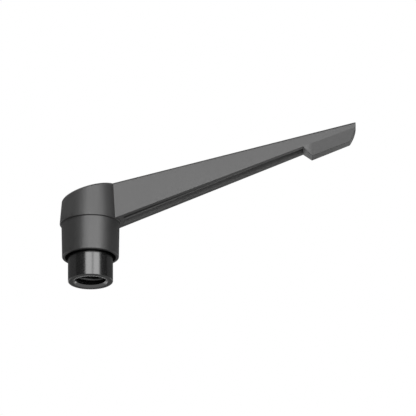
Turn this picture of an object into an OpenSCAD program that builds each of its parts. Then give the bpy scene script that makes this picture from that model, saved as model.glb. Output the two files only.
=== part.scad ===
// Adjustable clamping lever with a female thread.
// A cast handle turns a threaded insert through a ring of teeth. Lifting the handle
// against its spring frees the teeth, so the arm can be set to another angle.
// The origin is on the thread's axis, at the lower end of the insert. +X points to the tip.

/* [Lever] */
// Length of the sloping top face, from the back of the hub to the tip
lever_l = 50; // [42:0.5:65]
// Slope of the top face in degrees
top_slope = 15.4; // [13:0.1:18]
// Height of the hub's rim above the lower end of the insert
rim_h = 10; // [9.5:0.1:12]

/* [Hub] */
// Diameter of the hub at its rim
hub_d = 10.1; // [9.8:0.1:11.5]
// Draft of the flared hub in degrees
hub_draft = 5; // [2:0.1:7]
// Height of the hub on its axis, from the rim to the sloping top
hub_h = 5.4; // [5.1:0.1:7]
// Diameter of the collar just under the rim
collar_d = 9.55; // [9.3:0.05:9.7]
// Draft of the collar in degrees
collar_draft = 1; // [0:0.1:1.5]
// Height of the collar, from its lower end to the rim
collar_h = 5.75; // [5:0.05:6.2]
// Rounding of the collar's lower edge
collar_round = 0.15; // [0.1:0.01:0.4]
// Rounding of the hub's rim
rim_round = 0.1; // [0.05:0.01:0.15]

/* [Arm] */
// Width of the arm's top face on the hub's axis
arm_w = 5.2; // [4.8:0.1:5.8]
// Width of the arm's top face at the tip
tip_w = 3.4; // [3:0.1:4]
// Draft of the arm's sides in degrees, which makes it wider below than above
side_draft = 4.3; // [3:0.1:5]
// Slope of the arm's underside in degrees
under_slope = 22.5; // [21:0.1:23]
// Height of the underside above the rim, where it leaves the hub
under_rise = 0.55; // [0.3:0.05:1]
// Rounding of the edges along the underside
under_round = 0.1; // [0.1:0.05:0.4]

/* [Recess under the arm] */
// Width of the rail on each side of the recess
rail_w = 0.95; // [0.8:0.05:1.1]
// Depth of the recess
recess_depth = 1.1; // [0.5:0.1:1.2]
// Draft of the recess's walls in degrees
recess_draft = 6; // [2:1:12]
// Rounding of the recess's floor
recess_round = 0.3; // [0.1:0.05:0.4]
// Solid web between the hub and the recess
recess_web = 0.4; // [0.4:0.1:1.5]

/* [Nose] */
// Length of the nose, from the tip back to the foot of its step
nose_l = 8.65; // [7:0.05:10]
// Length over which the step drops
step_l = 1.45; // [1:0.05:2]
// Drop of the nose below the line of the underside
nose_drop = 1.9; // [1.2:0.05:2.2]
// How far the nose's lower edges lie in from its sides
nose_inset = 0.8; // [0.6:0.05:1]
// Rounding of the nose's lower edges
nose_round = 0.1; // [0.1:0.05:0.3]
// Distance that the foot of the tip lies behind its top
tip_lean = 1; // [0.5:0.1:1.5]
// Radius of the tip's rounded face, as a multiple of its height
tip_radius_ratio = 2.4; // [2:0.1:5]

/* [Insert] */
// Nominal diameter of the female thread
thread_d = 6; // [6:0.1:6.2]
// Pitch of the female thread
thread_pitch = 1; // [0.75:0.05:1.1]
// Depth of the thread from the insert's lower end
thread_l = 5.6; // [4:0.1:5.7]
// Diameter of the insert below its teeth
insert_d = 7.4; // [7.2:0.05:7.5]
// Widening of the countersink past the thread's crests, on each side
sink_w = 0.3; // [0.2:0.02:0.6]
// Depth of the countersink
sink_depth = 0.4; // [0.3:0.05:0.5]
// Chamfer round the insert's lower end
end_chamfer = 0.1; // [0.1:0.05:0.3]

/* [Teeth] */
// Number of teeth
teeth_n = 24; // [12:12:36]
// Diameter over the insert's teeth
teeth_d = 8.1; // [8:0.02:8.2]
// Height of a tooth
tooth_h = 0.32; // [0.25:0.01:0.34]
// Length of the teeth along the axis
teeth_l = 1.9; // [1.4:0.1:2]
// Height at which the teeth begin, above the insert's lower end
teeth_z = 6.3; // [6.2:0.05:6.4]

/* [Retaining screw] */
// Thread diameter of the screw
screw_d = 3; // [2.5:0.1:3]
// Length of the screw's thread
screw_l = 2; // [1.5:0.1:2.1]
// Diameter of the shoulder that the handle slides on
shoulder_d = 3.6; // [3.4:0.1:3.8]
// Length of the shoulder
shoulder_l = 4.7; // [4.5:0.1:5]
// Diameter of the screw's head
head_d = 5.2; // [5:0.1:5.3]
// Height of the screw's head
head_h = 1.3; // [1:0.1:1.4]
// Width across the flats of the hexagon socket
socket_af = 2; // [1.5:0.1:2.5]
// Depth of the hexagon socket
socket_depth = 0.9; // [0.5:0.1:1]

/* [Spring] */
// Diameter of the wire
wire_d = 0.3; // [0.25:0.01:0.32]
// Coils between the closed ends
free_coils = 2; // [1:0.5:3]

/* [Handle's inside] */
// Thickness of the web that the spring presses on
web_t = 0.95; // [0.8:0.05:1.1]
// Diameter of the well that holds the spring and the screw's head
well_d = 5.7; // [5.5:0.1:6.2]

/* [Fits] */
// Radial gap between the insert's teeth and the handle's
teeth_gap = 0.08; // [0.05:0.01:0.12]
// Radial step between the handle's teeth and the wider bore below them
bore_relief = 0.08; // [0.04:0.01:0.1]
// Gap on each flank of a tooth
flank_gap = 0.04; // [0.02:0.01:0.06]
// Radial gap between the shoulder and the web
slide_gap = 0.08; // [0.05:0.01:0.12]
// Radial gap round the screw's thread
thread_gap = 0.05; // [0.02:0.01:0.08]
// Gap between the web and the insert, and at each end of the spring
seat_gap = 0.04; // [0.02:0.01:0.08]

/* [Hidden] */
$fn = 96;
eps = 0.01;
cast_colour = "#3b3c3e";
steel_colour = "#2b2c2e";
screw_colour = "#33353a";
spring_colour = "#9a9da1";

// Heights on the axis
collar_z = rim_h - collar_h;
top_z = rim_h + hub_h;
insert_top_z = teeth_z + teeth_l;
web_z = insert_top_z + seat_gap;
web_top_z = web_z + web_t;
head_z = insert_top_z + shoulder_l;

// The hub is a cone cut by the sloping top face. back_r is its radius at the back of the cut.
hub_r = hub_d / 2;
top_rise = tan(top_slope);
under_grade = tan(under_slope);
back_r = (hub_r - hub_h * tan(hub_draft)) / (1 - top_rise * tan(hub_draft));
cone_top_z = top_z + hub_r * top_rise + 1;
cone_top_r = hub_r - (cone_top_z - rim_h) * tan(hub_draft);

// The arm, measured along X from the hub's axis
tip_x = lever_l * cos(top_slope) - back_r;
notch_x = tip_x - nose_l;
nose_x = notch_x + step_l;
foot_x = tip_x - tip_lean;
recess_x = hub_r + recess_web;
// Material left above the top face until the face is cut
top_stock = 1;
corner_steps = 5;

// Internal thread: the radius of the hole through its crests
crest_r = thread_d / 2 - 0.5 * thread_pitch;
sink_r = crest_r + sink_w;
// Height of the drill's cone at the end of the threaded hole, for half the angle of its point
drill_a = 59;
screw_hole_r = screw_d / 2;
drill_cone_z = thread_l + (crest_r - screw_hole_r) / tan(drill_a);

// Half the width of a tooth at its tip and at its root, as shares of the teeth's pitch
tooth_tip = 0.14;
tooth_root = 0.34;

// Spring, whose closed coils lie a hair apart
spring_len = head_z - web_top_z - 2 * seat_gap;
spring_r = (shoulder_d + head_d) / 4;
closed_pitch = wire_d * 1.04;
free_pitch = (spring_len - wire_d - 2 * closed_pitch) / free_coils;
spring_coils = free_coils + 2;
steps_per_coil = 24;
wire_sides = 8;

// Height of the arm's faces at a distance x from the axis
function top_at(x) = top_z + x * top_rise;
function under_at(x) = rim_h + under_rise + (x - hub_r) * under_grade;
function nose_at(x) = under_at(x) - nose_drop;
// Half the arm's width at a distance x from the axis, d below the top face
function half_at(x, d) = arm_w / 2 + (tip_w - arm_w) / 2 * x / tip_x + d * tan(side_draft);

// Points of an arc in a plane, from angle a to angle b
function arc(c, r, a, b, n = corner_steps) =
    [for (i = [0 : n]) let (t = a + (b - a) * i / n) [c[0] + r * cos(t), c[1] + r * sin(t)]];

// A rounded lower corner at [h, z] under a flank that leans outwards by angle lean
function lower_corner(h, z, r, lean) =
    arc([h - r * (1 - sin(lean)) / cos(lean), z + r], r, -lean, -90);

// A closed section from its right half: points [y, z], from the top down
function both_sides(half) =
    concat(half, [for (i = [len(half) - 1 : -1 : 0]) [-half[i][0], half[i][1]]]);

// Sections of the arm. The fold is the line along which the nose's flanks begin to lean in.
function arm_half(x, fold_z, low_z, low_h, r, lean) = concat(
    [[half_at(x, -top_stock), top_at(x) + top_stock],
     [half_at(x, top_at(x) - fold_z), fold_z]],
    lower_corner(low_h, low_z, r, lean));

// The blade's fold lies on its flat side, just above the rounding of the lower edge
function blade_section(x) =
    let (z = under_at(x), fold_z = z + 1.2 * under_round)
    arm_half(x, fold_z, z, half_at(x, top_at(x) - z), under_round, -side_draft);

function nose_section(x) =
    arm_half(x, under_at(x), nose_at(x), half_at(x, top_at(x) - under_at(x)) - nose_inset,
             nose_round, atan(nose_inset / nose_drop));

function ring_at(x, section) = [for (p = both_sides(section)) [x, p[0], p[1]]];

function recess_half(x) =
    let (d = recess_depth + eps,
         low_h = half_at(x, top_at(x) - under_at(x)) - rail_w,
         high_h = low_h - d * tan(recess_draft),
         high_z = under_at(x) + recess_depth,
         r = recess_round)
    concat(arc([high_h - r, high_z - r], r, 90, -recess_draft),
           [[low_h, under_at(x) - eps]]);

// A solid skin over rings that have the same number of points
module loft(rings) {
    n = len(rings[0]);
    last = (len(rings) - 1) * n;
    sides = [for (k = [0 : len(rings) - 2], i = [0 : n - 1])
        let (a = k * n + i, b = k * n + (i + 1) % n)
        each [[a, b, b + n], [a, b + n, a + n]]];
    ends = [[for (i = [n - 1 : -1 : 0]) i], [for (i = [0 : n - 1]) last + i]];
    polyhedron(points = [for (ring = rings) each ring], faces = concat(sides, ends));
}

// The ring of teeth as a flat outline, grown by gap at the tips and roots and by side on the flanks
module teeth_outline(gap = 0, side = 0) {
    tip_r = teeth_d / 2 + gap;
    root_r = teeth_d / 2 - tooth_h + gap;
    pitch_a = 360 / teeth_n;
    side_a = side / (teeth_d / 2) * 180 / PI;
    tooth = [[root_r, -tooth_root], [tip_r, -tooth_tip], [tip_r, tooth_tip], [root_r, tooth_root]];
    polygon([for (i = [0 : teeth_n - 1], p = tooth)
        let (a = (i + p[1]) * pitch_a + sign(p[1]) * side_a)
        [p[0] * cos(a), p[0] * sin(a)]]);
}

// Everything above the sloping top face
module above_top() {
    translate([0, 0, top_z])
        rotate([0, -top_slope, 0])
            translate([-lever_l, -hub_d, 0])
                cube([3 * lever_l, 2 * hub_d, lever_l]);
}

module hub_and_collar() {
    low_r = collar_d / 2 - (collar_h - collar_round) * tan(collar_draft);
    rotate_extrude()
        polygon(concat(
            [[0, collar_z]],
            arc([low_r - collar_round, collar_z + collar_round], collar_round, -90, 0),
            [[collar_d / 2, rim_h]],
            arc([hub_r - rim_round, rim_h + rim_round], rim_round, -90, 0),
            [[cone_top_r, cone_top_z], [0, cone_top_z]]));
}

module arm() {
    difference() {
        loft([
            ring_at(0, blade_section(0)),
            ring_at(notch_x, blade_section(notch_x)),
            ring_at(nose_x, nose_section(nose_x)),
            ring_at(tip_x, nose_section(tip_x))]);
        tip_cut();
        loft([ring_at(recess_x, recess_half(recess_x)),
              ring_at(notch_x, recess_half(notch_x))]);
    }
}

// Everything past the tip, whose face is an arc through its top and its foot
module tip_cut() {
    head = [tip_x, top_at(tip_x)];
    foot = [foot_x, nose_at(foot_x)];
    chord = norm(head - foot);
    tip_r = tip_radius_ratio * chord;
    lean = atan2(head[0] - foot[0], head[1] - foot[1]);
    half_a = asin(chord / 2 / tip_r);
    centre = (head + foot) / 2 - tip_r * cos(half_a) * [cos(lean), -sin(lean)];
    difference() {
        translate([foot_x - tip_lean, -arm_w, foot[1] - nose_drop])
            cube([4 * nose_l, 2 * arm_w, 4 * chord]);
        translate([centre[0], arm_w + eps, centre[1]])
            rotate([90, 0, 0])
                cylinder(r = tip_r, h = 2 * (arm_w + eps));
    }
}

module handle() {
    color(cast_colour)
        difference() {
            union() {
                hub_and_collar();
                arm();
            }
            above_top();
            // The bore that the insert's teeth drop into when the handle is lifted
            translate([0, 0, collar_z - 1])
                cylinder(r = teeth_d / 2 + teeth_gap + bore_relief, h = teeth_z - collar_z + 1);
            // The spaces between the handle's own teeth
            translate([0, 0, teeth_z - eps])
                linear_extrude(web_z - teeth_z + eps)
                    teeth_outline(teeth_gap, flank_gap);
            // The hole in the web and the well above it
            cylinder(d = shoulder_d + 2 * slide_gap, h = top_z);
            translate([0, 0, web_top_z])
                cylinder(d = well_d, h = lever_l);
        }
}

module threaded_insert() {
    r = insert_d / 2;
    color(steel_colour) {
        difference() {
            union() {
                rotate_extrude()
                    polygon([
                        [0, 0], [r - end_chamfer, 0], [r, end_chamfer],
                        [r, teeth_z + eps], [0, teeth_z + eps]]);
                translate([0, 0, teeth_z])
                    linear_extrude(teeth_l)
                        teeth_outline();
            }
            rotate_extrude()
                polygon([
                    [0, -1], [sink_r + sink_w / sink_depth, -1], [crest_r, sink_depth],
                    [crest_r, thread_l], [screw_hole_r, drill_cone_z],
                    [screw_hole_r, insert_top_z + 1], [0, insert_top_z + 1]]);
        }
    }
}

module retaining_screw() {
    thread_r = screw_hole_r - thread_gap;
    head_r = head_d / 2;
    edge = 0.15 * head_h;
    color(screw_colour)
        difference() {
            rotate_extrude()
                polygon(concat(
                    [[0, insert_top_z - screw_l], [thread_r - thread_gap, insert_top_z - screw_l],
                     [thread_r, insert_top_z - screw_l + thread_gap], [thread_r, insert_top_z],
                     [shoulder_d / 2, insert_top_z], [shoulder_d / 2, head_z], [head_r, head_z]],
                    arc([head_r - edge, head_z + head_h - edge], edge, 0, 90),
                    [[0, head_z + head_h]]));
            translate([0, 0, head_z + head_h - socket_depth])
                cylinder(r = socket_af / 2 / cos(30), h = socket_depth + 1, $fn = 6);
        }
}

// Height of the wire's centre line after a number of coils, with one closed coil at each end
function wire_z(coil) =
    wire_d / 2 + (coil < 1 ? coil * closed_pitch
    : coil < 1 + free_coils ? closed_pitch + (coil - 1) * free_pitch
    : closed_pitch + free_coils * free_pitch + (coil - 1 - free_coils) * closed_pitch);

module spring() {
    color(spring_colour)
        translate([0, 0, web_top_z + seat_gap])
            loft([for (k = [0 : spring_coils * steps_per_coil])
                let (coil = k / steps_per_coil, a = 360 * coil)
                [for (i = [0 : wire_sides - 1])
                    let (t = -360 * i / wire_sides,
                         r = spring_r + wire_d / 2 * cos(t))
                    [r * cos(a), r * sin(a), wire_z(coil) + wire_d / 2 * sin(t)]]]);
}

handle();
threaded_insert();
retaining_screw();
spring();
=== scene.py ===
"""Adjustable clamping lever: the looks of a cast handle, a turned insert, its screw and its spring."""
import math

import bmesh
import bpy
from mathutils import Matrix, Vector

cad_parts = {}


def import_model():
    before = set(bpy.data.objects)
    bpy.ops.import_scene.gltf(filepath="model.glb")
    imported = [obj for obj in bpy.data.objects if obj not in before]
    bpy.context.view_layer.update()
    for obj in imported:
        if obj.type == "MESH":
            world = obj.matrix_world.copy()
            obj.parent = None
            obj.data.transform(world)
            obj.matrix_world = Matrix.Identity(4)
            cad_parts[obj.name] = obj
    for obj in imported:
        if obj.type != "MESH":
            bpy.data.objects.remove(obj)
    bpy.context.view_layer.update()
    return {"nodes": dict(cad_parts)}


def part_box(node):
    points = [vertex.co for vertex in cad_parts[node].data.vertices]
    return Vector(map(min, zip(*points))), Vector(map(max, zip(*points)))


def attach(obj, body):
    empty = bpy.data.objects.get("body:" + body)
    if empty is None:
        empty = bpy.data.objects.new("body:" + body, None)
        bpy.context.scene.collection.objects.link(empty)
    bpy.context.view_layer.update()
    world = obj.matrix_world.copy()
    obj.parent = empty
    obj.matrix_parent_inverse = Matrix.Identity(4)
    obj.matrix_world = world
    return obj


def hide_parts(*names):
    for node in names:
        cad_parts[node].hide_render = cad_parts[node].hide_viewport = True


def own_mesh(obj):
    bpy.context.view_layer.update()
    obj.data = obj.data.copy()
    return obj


MM = 0.001

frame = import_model()


def heights(node):
    """The lowest and the highest point of a solid, in millimetres, to a thousandth."""
    return [round(corner.z / MM, 3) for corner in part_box(node)]


# Heights of the solids, in millimetres
INSERT_TOP_Z = heights("threaded_insert")[1]
SCREW_END_Z, HEAD_TOP_Z = heights("retaining_screw")
SPRING_Z, SPRING_TOP_Z = heights("spring")

# Sizes shared with the solids, in millimetres and degrees
TOP_SLOPE = 15.4
THREAD_PITCH = 1.0
THREAD_R = 3.0
CREST_R = 2.5
THREAD_TOP_Z = 5.6
DRILL_ANGLE = 59
SINK_R = 2.8
SINK_DEPTH = 0.4
INSERT_R = 3.7
END_CHAMFER = 0.1
TEETH_N = 24
TEETH_R = 4.05
TOOTH_H = 0.32
TEETH_Z = 6.3
# Half the width of a tooth at its tip, and the width of its flank, as shares of the teeth's pitch
TOOTH_TIP = 0.14
TOOTH_FLANK = 0.2
SCREW_HOLE_R = 1.5
SCREW_THREAD_R = 1.45
SHOULDER_R = 1.8
HEAD_R = 2.6
HEAD_H = 1.3
SOCKET_AF = 2.0
SOCKET_DEPTH = 0.9
WIRE_R = 0.15
FREE_COILS = 2
CLOSED_PITCH = 2.08 * WIRE_R
SPRING_R = (SHOULDER_R + HEAD_R) / 2
SPRING_LEN = SPRING_TOP_Z - SPRING_Z

# Edges and small forms that the solids lack, in millimetres
TOP_ROUND = 0.32
EDGE = 0.05
FINE_EDGE = 0.02
SINK_EDGE = 0.03
SCREW_CHAMFER = 0.1
HEAD_EDGE = 0.08
HEAD_ROUND = 0.2
SOCKET_RIM_R = 1.35
SOCKET_LEAD = 0.12
SOCKET_LEAD_DEPTH = 0.1
SOCKET_DRILL_R = 0.9
SOCKET_DRILL_DEPTH = 0.25
# Radius of the small flat faces that close the screw's two ends on its axis
CAP_R = 0.1

# The screw's thread, in millimetres
SCREW_PITCH = 0.5
SCREW_CORE_R = 1.2

# Both threads: half the angle between flanks in degrees, and the rest as shares of the pitch
HALF_THREAD_ANGLE = 30
THREAD_WIDTH = 0.75
THREAD_CHAMFER = 0.07
RUN_OUT = 0.4
THREAD_START = 0.75

# Steps of the meshes
TURN_STEPS = 144
CORNER_STEPS = 5
ROUND_STEPS = 5
COIL_STEPS = 72
WIRE_SIDES = 14
CARD_COLUMNS = 24
CARD_ROWS = 12
ANGLES = [2 * math.pi * i / TURN_STEPS for i in range(TURN_STEPS)]

# Distances at which vertices of the turned pieces, the casting and its rounded rim merge, in millimetres
TURNED_MERGE = 0.0001
CAST_MERGE = 0.002
RIM_MERGE = 0.02
# Distance at which a cut through the casting takes a vertex as lying on it, in millimetres
CUT_SNAP = 0.0005

# Angles in degrees: where faces of the casting count as one, and over which edges stay sharp
CAST_FLAT = 0.6
CAST_SHARP = 25
TURNED_SHARP = 35
WIRE_SHARP = 50
# Cosine of the least angle between the top face's normal and that of a side under it
SIDE_COSINE = 0.9
# Least height above the lower end of the rounding at which a vertex moves, as a share of its radius
LEAST_RISE = 0.001

# Where the photograph's middle lies, in millimetres, and its scale
VIEW_ELEVATION = -20.0
VIEW_CENTRE = Vector((19.27, 0, 12.92))
FRAME_PX = 416
PX_PER_MM = 6.1

# Places and sizes in the studio, in metres
CAMERA_DISTANCE = 0.12
FLOOR_Z = -0.1
FLOOR_SIZE = 8

# Distances of the reflected cards from the lever's middle, in metres
FAR = 0.4
OVER = 0.35
LOW = 0.105
NEAR = 0.1

# Cards that only the metal mirrors: name, azimuths, elevations, distance and radiance
CARDS = [
    # Beside the softboxes, between them and over them
    ("left_low", (-150, -80), (-13, 24), FAR, 0.13),
    ("left_edge", (-80, -28), (-13, 24), FAR, 0.05),
    ("left_high", (-150, -28), (24, 89), FAR, 0.5),
    ("right_low", (95, 150), (-13, 24), FAR, 0.13),
    ("right_edge", (49, 95), (-13, 24), FAR, 0.04),
    ("right_high", (49, 150), (24, 89), FAR, 0.4),
    ("key_gap", (6, 12), (-8, 38), FAR, 0.85),
    ("key_side", (44, 49), (-8, 38), FAR, 0.6),
    ("key_over", (-28, 49), (38, 89), FAR, 0.07),
    # Behind the lever and over it
    ("back_card", (150, 210), (14, 89), FAR, 0.12),
    ("top_left", (205, 300), (52, 80), OVER, 0.6),
    ("top_right", (60, 155), (52, 80), OVER, 0.6),
    # Under it
    ("low_card", (0, 360), (-89, -42), LOW, 0.25),
    ("low_back", (49, 332), (-42, -13), LOW, 0.25),
    ("low_front", (-28, 49), (-42, -8), LOW, 0.97),
    # Low behind it, which the faces that look down mirror to the camera
    ("low_gap", (152, 183), (-13, 8), NEAR, 0.1),
    ("rim_left", (212, 250), (-28, 2), NEAR, 0.65),
    ("rim_right", (122, 152), (-28, -4), NEAR, 1.1),
    ("end_card", (183, 202), (-36, -17), NEAR, 0.14),
]


# Meshes

def new_object(name, data):
    obj = bpy.data.objects.new(name, data)
    bpy.context.scene.collection.objects.link(obj)
    return obj


def mesh_object(name, bm):
    """A new object that holds what was built in bm."""
    mesh = bpy.data.meshes.new(name)
    bm.to_mesh(mesh)
    bm.free()
    return new_object(name, mesh)


def bridge(bm, one, two):
    """Faces between two closed loops that have the same number of vertices."""
    for i in range(len(one)):
        j = (i + 1) % len(one)
        bm.faces.new((one[i], one[j], two[j], two[i]))


def smooth(obj, angle):
    """Shades obj smoothly, apart from edges sharper than angle, in degrees."""
    for poly in obj.data.polygons:
        poly.use_smooth = True
    bm = bmesh.new()
    bm.from_mesh(obj.data)
    limit = math.radians(angle)
    for edge in bm.edges:
        edge.smooth = edge.is_manifold and edge.calc_face_angle(0) < limit
    bm.to_mesh(obj.data)
    bm.free()


def weigh_normals(obj):
    """Keeps large faces flat right up to the small rounded ones beside them."""
    weighted = obj.modifiers.new("weighted_normals", "WEIGHTED_NORMAL")
    weighted.mode = "FACE_AREA"
    weighted.weight = 100
    weighted.keep_sharp = True


# Materials

class Nodes:
    """A short way to build a material's node tree."""

    def __init__(self, name):
        self.material = bpy.data.materials.new(name)
        self.material.use_nodes = True
        self.tree = self.material.node_tree
        self.shader = self.tree.nodes["Principled BSDF"]

    def add(self, kind, values, **settings):
        """A new node, with its settings and with a value or a link for each input that values names."""
        node = self.tree.nodes.new(kind)
        for key, value in settings.items():
            setattr(node, key, value)
        for key, value in values.items():
            self.put(value, node.inputs[key])
        return node

    def put(self, value, socket):
        if isinstance(value, bpy.types.NodeSocket):
            self.tree.links.new(value, socket)
        else:
            socket.default_value = value

    def set(self, **values):
        """Sets inputs of the shader, whose names are written with underscores."""
        for key, value in values.items():
            self.put(value, self.shader.inputs[key.replace("_", " ")])

    def place(self):
        """Where a point of the surface lies, in metres."""
        return self.add("ShaderNodeTexCoord", {}).outputs["Object"]

    def math(self, operation, first, second=0.0):
        node = self.add("ShaderNodeMath", {0: first, 1: second}, operation=operation)
        return node.outputs[0]

    def noise(self, where, scale, detail, roughness):
        values = {"Vector": where, "Scale": scale, "Detail": detail, "Roughness": roughness}
        return self.add("ShaderNodeTexNoise", values).outputs["Fac"]

    def ramp(self, fac, low, high):
        """A value that goes from low to high as fac goes from 0 to 1."""
        values = {"Value": fac, "To Min": low, "To Max": high}
        return self.add("ShaderNodeMapRange", values).outputs["Result"]

    def grey(self, value):
        values = {"Red": value, "Green": value, "Blue": value}
        return self.add("ShaderNodeCombineColor", values).outputs["Color"]

    def bump(self, height, strength, distance):
        """A bump in the surface. Its distance is in millimetres."""
        values = {"Height": height, "Strength": strength, "Distance": distance * MM}
        return self.add("ShaderNodeBump", values).outputs["Normal"]


def cast_coating():
    """A fine matt coating on a casting, a little uneven in its tone."""
    nodes = Nodes("cast_coating")
    where = nodes.place()
    peel = nodes.noise(where, scale=5200, detail=3.0, roughness=0.55)
    cloud = nodes.noise(where, scale=160, detail=2.0, roughness=0.5)
    nodes.set(Base_Color=nodes.grey(nodes.ramp(cloud, low=0.155, high=0.169)),
              Metallic=0.9,
              Roughness=nodes.ramp(peel, low=0.4, high=0.5),
              Normal=nodes.bump(peel, strength=0.4, distance=0.03))
    return nodes.material


def insert_steel():
    """Blackened steel with turning marks round its axis, and a lighter countersink."""
    nodes = Nodes("insert_steel")
    where = nodes.place()
    finer_along_z = {"Vector": where, "Scale": (1.0, 1.0, 16.0)}
    marks = nodes.add("ShaderNodeMapping", finer_along_z).outputs["Vector"]
    turned = nodes.noise(marks, scale=900, detail=2.0, roughness=0.6)
    place = nodes.add("ShaderNodeSeparateXYZ", {"Vector": where}).outputs
    # The countersink is what lies below its depth and inside its radius
    squares = [nodes.math("POWER", place[axis], 2) for axis in "XY"]
    across = nodes.math("SQRT", nodes.math("ADD", *squares))
    low = nodes.math("LESS_THAN", place["Z"], (SINK_DEPTH + FINE_EDGE / 2) * MM)
    inside = nodes.math("LESS_THAN", across, SINK_R * MM)
    sink = nodes.math("MULTIPLY", low, inside)
    nodes.set(Base_Color=nodes.grey(nodes.ramp(sink, low=0.18, high=0.32)),
              Metallic=1.0,
              Roughness=nodes.ramp(turned, low=0.16, high=0.25),
              Normal=nodes.bump(turned, strength=0.16, distance=0.02))
    return nodes.material


def screw_steel():
    """Blackened steel with a fine grain."""
    nodes = Nodes("screw_steel")
    grain = nodes.noise(nodes.place(), scale=2500, detail=3.0, roughness=0.6)
    nodes.set(Base_Color=nodes.grey(nodes.ramp(grain, low=0.16, high=0.2)),
              Metallic=1.0,
              Roughness=nodes.ramp(grain, low=0.28, high=0.4),
              Normal=nodes.bump(grain, strength=0.08, distance=0.02))
    return nodes.material


def spring_wire():
    """Bright drawn wire."""
    nodes = Nodes("spring_wire")
    grain = nodes.noise(nodes.place(), scale=3000, detail=2.0, roughness=0.5)
    nodes.set(Base_Color=(0.6, 0.61, 0.62, 1),
              Metallic=1.0,
              Roughness=nodes.ramp(grain, low=0.2, high=0.34),
              Normal=nodes.bump(grain, strength=0.05, distance=0.01))
    return nodes.material


# Turned pieces: rings of vertices round the axis

def point(radius, angle, height):
    return Vector((radius * math.cos(angle), radius * math.sin(angle), height)) * MM


def rings(bm, sizes):
    """Rings of the given radii and heights, joined to each other. A radius may change with the angle."""
    loops = []
    for radius, height in sizes:
        radii = [radius(a) if callable(radius) else radius for a in ANGLES]
        loops.append([bm.verts.new(point(r, a, height)) for r, a in zip(radii, ANGLES)])
    for one, two in zip(loops, loops[1:]):
        bridge(bm, one, two)
    return loops


def thread(bm, low_z, high_z, pitch, end_r, deep_r):
    """A helical thread from radius end_r to deep_r, in rows that follow its edges.

    It fades into end_r at its lower and its upper end.
    """
    flank = abs(deep_r - end_r) * math.tan(math.radians(HALF_THREAD_ANGLE)) / pitch
    deep = (THREAD_WIDTH - 2 * flank) / 2
    # The chamfer at the flank's foot: where it begins and ends, away from the deep flat, and its depth
    chamfer_from = flank - THREAD_CHAMFER / 2
    chamfer_to = flank + THREAD_CHAMFER
    chamfer_depth = 1 - chamfer_from / flank
    # Rows on one side of a turn and on its other side, as shares of the pitch
    starts = [deep, deep + chamfer_from, deep + chamfer_to]
    starts += [1 - start for start in reversed(starts)]

    def place(row, i):
        """Height and vertex of a row at step i. Rows past an end of the thread lie on that end."""
        turn, k = divmod(row, len(starts))
        z = min(max((turn + starts[k] + THREAD_START + i / TURN_STEPS) * pitch, low_z), high_z)
        phase = (z / pitch - THREAD_START - i / TURN_STEPS) % 1
        away = min(phase, 1 - phase) - deep
        flank_depth = 1 - away / flank
        edge_depth = (chamfer_to - away) / (chamfer_to - chamfer_from) * chamfer_depth
        depth = min(max(flank_depth, edge_depth, 0), 1)
        fade = min(1, (z - low_z) / (RUN_OUT * pitch), (high_z - z) / (RUN_OUT * pitch))
        return z, bm.verts.new(point(end_r + (deep_r - end_r) * depth * fade, ANGLES[i], z))

    first = (math.floor(low_z / pitch) - 2) * len(starts)
    last = (math.ceil(high_z / pitch) + 1) * len(starts)
    rows = [[place(row, i) for i in range(TURN_STEPS)] for row in range(first, last)]
    for row in range(len(rows) - len(starts) - 1):
        for i in range(TURN_STEPS):
            # After a whole turn a row goes on as the row one pitch above
            j, step = (i + 1, 0) if i + 1 < TURN_STEPS else (0, len(starts))
            corners = (rows[row][i], rows[row + step][j], rows[row + step + 1][j], rows[row + 1][i])
            # Faces that lie wholly on an end of the thread are left out
            if {z for z, _ in corners} not in ({low_z}, {high_z}):
                bm.faces.new([vert for _, vert in corners])


def turned_object(name, bm):
    bmesh.ops.remove_doubles(bm, verts=bm.verts, dist=TURNED_MERGE * MM)
    loose = [vert for vert in bm.verts if not vert.link_faces]
    bmesh.ops.delete(bm, geom=loose, context="VERTS")
    bmesh.ops.recalc_face_normals(bm, faces=bm.faces)
    obj = mesh_object(name, bm)
    smooth(obj, TURNED_SHARP)
    weigh_normals(obj)
    return obj


def tooth_radius(angle):
    """Radius of the insert's ring of teeth at an angle."""
    phase = abs((angle * TEETH_N / (2 * math.pi) + 0.5) % 1 - 0.5)
    flank = min(max((phase - TOOTH_TIP) / TOOTH_FLANK, 0), 1)
    return TEETH_R - TOOTH_H * flank


def threaded_insert():
    cone_z = THREAD_TOP_Z + (CREST_R - SCREW_HOLE_R) / math.tan(math.radians(DRILL_ANGLE))
    bm = bmesh.new()
    thread(bm, SINK_DEPTH, THREAD_TOP_Z, THREAD_PITCH, CREST_R, THREAD_R)
    rings(bm, [
        (CREST_R, THREAD_TOP_Z),
        (SCREW_HOLE_R, cone_z),
        (SCREW_HOLE_R, INSERT_TOP_Z),
        (TEETH_R - TOOTH_H - 2 * EDGE, INSERT_TOP_Z),
        (lambda angle: tooth_radius(angle) - EDGE, INSERT_TOP_Z),
        (tooth_radius, INSERT_TOP_Z - EDGE),
        (tooth_radius, TEETH_Z + EDGE),
        (lambda angle: max(tooth_radius(angle) - EDGE, INSERT_R + FINE_EDGE / 2), TEETH_Z),
        (INSERT_R, TEETH_Z),
        (INSERT_R, END_CHAMFER + 2 * FINE_EDGE),
        (INSERT_R - FINE_EDGE, END_CHAMFER),
        (INSERT_R - END_CHAMFER, FINE_EDGE),
        (INSERT_R - END_CHAMFER - EDGE, 0),
        (SINK_R + SINK_EDGE, 0),
        (SINK_R - FINE_EDGE, SINK_EDGE),
        (CREST_R, SINK_DEPTH),
    ])
    return turned_object("turned_insert", bm)


def hexagon(across):
    """Radius of a hexagon, by the angle, for its width across the flats."""
    sixth = math.pi / 3
    return lambda angle: across / 2 / math.cos((angle + sixth / 2) % sixth - sixth / 2)


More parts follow.
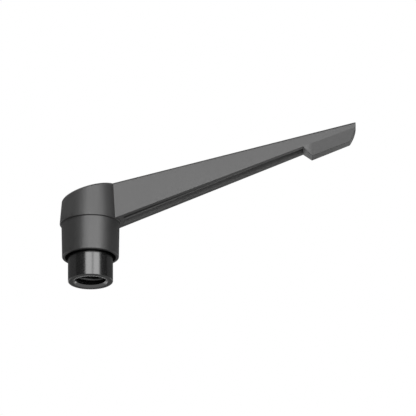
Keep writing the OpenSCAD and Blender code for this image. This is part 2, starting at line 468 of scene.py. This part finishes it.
def retaining_screw():
    thread_z = SCREW_END_Z + SCREW_CHAMFER
    head_z = HEAD_TOP_Z - HEAD_H
    socket_z = HEAD_TOP_Z - SOCKET_DEPTH
    turns = [math.pi / 2 * i / CORNER_STEPS for i in range(CORNER_STEPS + 1)]
    head_arc = [(HEAD_R - HEAD_ROUND + HEAD_ROUND * math.cos(t),
                 HEAD_TOP_Z - HEAD_ROUND + HEAD_ROUND * math.sin(t)) for t in turns]
    bm = bmesh.new()
    end = rings(bm, [
        (CAP_R, SCREW_END_Z),
        (SCREW_CORE_R - SCREW_CHAMFER, SCREW_END_Z),
        (SCREW_CORE_R, thread_z),
    ])
    thread(bm, thread_z, INSERT_TOP_Z, SCREW_PITCH, SCREW_CORE_R, SCREW_THREAD_R)
    top = rings(bm, [
        (SCREW_CORE_R, INSERT_TOP_Z),
        (SHOULDER_R - EDGE, INSERT_TOP_Z),
        (SHOULDER_R, INSERT_TOP_Z + EDGE),
        (SHOULDER_R, head_z),
        (HEAD_R - HEAD_EDGE, head_z),
        (HEAD_R, head_z + HEAD_EDGE),
        *head_arc,
        (SOCKET_RIM_R, HEAD_TOP_Z),
        (hexagon(SOCKET_AF + SOCKET_LEAD), HEAD_TOP_Z - FINE_EDGE),
        (hexagon(SOCKET_AF), HEAD_TOP_Z - SOCKET_LEAD_DEPTH),
        (hexagon(SOCKET_AF), socket_z),
        (SOCKET_DRILL_R, socket_z),
        (CAP_R, socket_z - SOCKET_DRILL_DEPTH),
    ])
    bm.faces.new(end[0])
    bm.faces.new(top[-1])
    return turned_object("shoulder_screw", bm)


# Spring

def wire_height(coil):
    """Height of the wire's centre above the web after a number of coils, with a closed coil at each end."""
    free_pitch = (SPRING_LEN - 2 * WIRE_R - 2 * CLOSED_PITCH) / FREE_COILS
    middle = min(max(coil - 1, 0), FREE_COILS)
    return WIRE_R + CLOSED_PITCH * (coil - middle) + free_pitch * middle


def wire_loop(bm, coil):
    """A ring of vertices round the wire, after a number of coils."""
    sides = [2 * math.pi * i / WIRE_SIDES for i in range(WIRE_SIDES)]
    centre_z = SPRING_Z + wire_height(coil)
    return [bm.verts.new(point(SPRING_R + WIRE_R * math.cos(t), 2 * math.pi * coil,
                               centre_z + WIRE_R * math.sin(t))) for t in sides]


def spring():
    bm = bmesh.new()
    last = (FREE_COILS + 2) * COIL_STEPS
    loops = [wire_loop(bm, k / COIL_STEPS) for k in range(last + 1)]
    for one, two in zip(loops, loops[1:]):
        bridge(bm, one, two)
    bm.faces.new(loops[0])
    bm.faces.new(loops[-1])
    bmesh.ops.recalc_face_normals(bm, faces=bm.faces)
    obj = mesh_object("coil_spring", bm)
    smooth(obj, WIRE_SHARP)
    return obj


# Casting

def way_in(vert, up):
    """The way that a vertex moves when the two sides that meet in it each move in by one unit."""
    sides = [face.normal - face.normal.dot(up) * up for face in vert.link_faces
             if abs(face.normal.dot(up)) < SIDE_COSINE]
    sides = [side.normalized() for side in sides]
    one, two = min(((a, b) for a in sides for b in sides), key=lambda pair: pair[0].dot(pair[1]))
    return -(one + two) / (1 + one.dot(two))


def round_top(bm):
    """Rounds the edges of the sloping top face: cuts the sides under it into bands, and draws those in."""
    slope = math.radians(TOP_SLOPE)
    up = Vector((-math.sin(slope), 0, math.cos(slope)))
    radius = TOP_ROUND * MM
    top = max(vert.co.dot(up) for vert in bm.verts)
    for k in range(ROUND_STEPS):
        depth = radius * (1 - math.sin(math.pi / 2 * k / ROUND_STEPS))
        bmesh.ops.bisect_plane(bm, geom=bm.verts[:] + bm.edges[:] + bm.faces[:], dist=CUT_SNAP * MM,
                               plane_co=up * (top - depth), plane_no=up)
    bm.normal_update()
    moves = []
    for vert in bm.verts:
        # Height above the rounding's lower end, as a share of its radius
        rise = 1 - (top - vert.co.dot(up)) / radius
        if rise > LEAST_RISE:
            inset = radius * (1 - math.sqrt(max(0, 1 - min(rise, 1) ** 2)))
            moves.append((vert, way_in(vert, up) * inset))
    for vert, move in moves:
        vert.co += move
    bmesh.ops.remove_doubles(bm, verts=[vert for vert, _ in moves], dist=RIM_MERGE * MM)


def cast_handle():
    """The casting, from its solid, with the sharp edges of its top face broken as a die leaves them."""
    obj = new_object("cast_handle", frame["nodes"]["handle"].data.copy())
    obj.data.materials.clear()
    for name in ("custom_normal", "sharp_face", "sharp_edge"):
        if name in obj.data.attributes:
            obj.data.attributes.remove(obj.data.attributes[name])
    bm = bmesh.new()
    bm.from_mesh(obj.data)
    bmesh.ops.remove_doubles(bm, verts=bm.verts, dist=CAST_MERGE * MM)
    bmesh.ops.dissolve_limit(bm, angle_limit=math.radians(CAST_FLAT), verts=bm.verts, edges=bm.edges)
    round_top(bm)
    bm.to_mesh(obj.data)
    bm.free()
    smooth(obj, CAST_SHARP)
    weigh_normals(obj)
    return obj


def dress(obj, material, node, body):
    """Gives a piece its material, ties it to its body, and hides the solid that it stands for."""
    obj.data.materials.clear()
    obj.data.materials.append(material)
    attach(obj, body)
    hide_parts(node)
    return obj


dress(cast_handle(), cast_coating(), "handle", "lever")
dress(threaded_insert(), insert_steel(), "threaded_insert", "core")
dress(retaining_screw(), screw_steel(), "retaining_screw", "core")
coil = dress(spring(), spring_wire(), "spring", "lift")
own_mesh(coil)


# Studio

def direction(azimuth, elevation):
    """Unit vector from the lever towards a light, with azimuth 0 in front and 90 on the right."""
    a, e = math.radians(azimuth), math.radians(elevation)
    return Vector((math.sin(a) * math.cos(e), -math.cos(a) * math.cos(e), math.sin(e)))


def face_lever(obj, towards, distance):
    """Puts a lamp or a camera at a distance from the lever's middle, and turns it to the lever."""
    obj.location = VIEW_CENTRE * MM + towards * distance
    obj.rotation_mode = "QUATERNION"
    obj.rotation_quaternion = towards.to_track_quat("Z", "Y")


def seen_strength(tree, unseen, seen):
    """Strength seen for what the camera, a mirror or glass shows, and unseen as light on the object."""
    rays = tree.nodes.new("ShaderNodeLightPath")
    total = rays.outputs["Is Camera Ray"]
    for kind in ("Is Glossy Ray", "Is Transmission Ray"):
        both = tree.nodes.new("ShaderNodeMath")
        both.operation = "ADD"
        both.use_clamp = True
        tree.links.new(total, both.inputs[0])
        tree.links.new(rays.outputs[kind], both.inputs[1])
        total = both.outputs[0]
    strength = tree.nodes.new("ShaderNodeMapRange")
    strength.inputs["To Min"].default_value = unseen
    strength.inputs["To Max"].default_value = seen
    tree.links.new(total, strength.inputs["Value"])
    return strength.outputs["Result"]


def floor():
    """A wide pale floor far below the lever."""
    half = FLOOR_SIZE / 2
    bm = bmesh.new()
    bm.faces.new([bm.verts.new(corner) for corner in
                  [(-half, -half, 0), (half, -half, 0), (half, half, 0), (-half, half, 0)]])
    obj = mesh_object("floor", bm)
    obj.location.z = FLOOR_Z
    nodes = Nodes("pale_floor")
    nodes.set(Base_Color=(0.85, 0.85, 0.85, 1), Roughness=0.9, Emission_Color=(1, 1, 1, 1),
              Emission_Strength=seen_strength(nodes.tree, unseen=0.0, seen=0.42))
    obj.data.materials.append(nodes.material)


def world():
    """White to the camera and in what metal mirrors, and a dim light on everything else."""
    studio = bpy.data.worlds.new("studio")
    bpy.context.scene.world = studio
    studio.use_nodes = True
    background = studio.node_tree.nodes["Background"]
    background.inputs["Color"].default_value = (1, 1, 1, 1)
    strength = seen_strength(studio.node_tree, unseen=0.12, seen=1.0)
    studio.node_tree.links.new(strength, background.inputs["Strength"])


def camera():
    data = bpy.data.cameras.new("camera")
    data.type = "ORTHO"
    data.ortho_scale = FRAME_PX / PX_PER_MM * MM
    data.clip_start = 0.001
    data.clip_end = 10
    obj = new_object("camera", data)
    face_lever(obj, direction(0, VIEW_ELEVATION), CAMERA_DISTANCE)
    bpy.context.scene.camera = obj


def softbox(name, azimuth, elevation, distance, width, height, radiance):
    """An area light whose surface has the given radiance, so its size sets how much light it gives."""
    data = bpy.data.lights.new(name, "AREA")
    data.shape = "RECTANGLE"
    data.size = width
    data.size_y = height
    data.energy = radiance * math.pi * width * height
    face_lever(new_object(name, data), direction(azimuth, elevation), distance)


def emitter(name, strength):
    """A white material that gives light of the given strength."""
    material = bpy.data.materials.new(name)
    material.use_nodes = True
    tree = material.node_tree
    tree.nodes.clear()
    glow = tree.nodes.new("ShaderNodeEmission")
    glow.inputs["Strength"].default_value = strength
    out = tree.nodes.new("ShaderNodeOutputMaterial")
    tree.links.new(glow.outputs[0], out.inputs["Surface"])
    return material


def steps(ends, count):
    """Values from the first of ends to the last, in a number of equal steps."""
    return [ends[0] + (ends[1] - ends[0]) * i / count for i in range(count + 1)]


def card(name, azimuths, elevations, distance, radiance):
    """A curved card round the lever, as photographers set, that only shows as a reflection in the metal."""
    bm = bmesh.new()
    grid = []
    for a in steps(azimuths, CARD_COLUMNS):
        places = [VIEW_CENTRE * MM + direction(a, e) * distance for e in steps(elevations, CARD_ROWS)]
        grid.append([bm.verts.new(place) for place in places])
    for one, two in zip(grid, grid[1:]):
        for j in range(CARD_ROWS):
            bm.faces.new((one[j], two[j], two[j + 1], one[j + 1]))
    obj = mesh_object(name, bm)
    obj.visible_camera = False
    obj.visible_shadow = False
    obj.visible_diffuse = False
    obj.data.materials.append(emitter(name, radiance))


floor()
world()
camera()
softbox("key_left", azimuth=-11, elevation=14, distance=0.5, width=0.28, height=0.44, radiance=1.0)
softbox("key_right", azimuth=31, elevation=14, distance=0.5, width=0.32, height=0.44, radiance=1.0)
for row in CARDS:
    card(*row)

scene = bpy.context.scene
scene.view_settings.view_transform = "Standard"
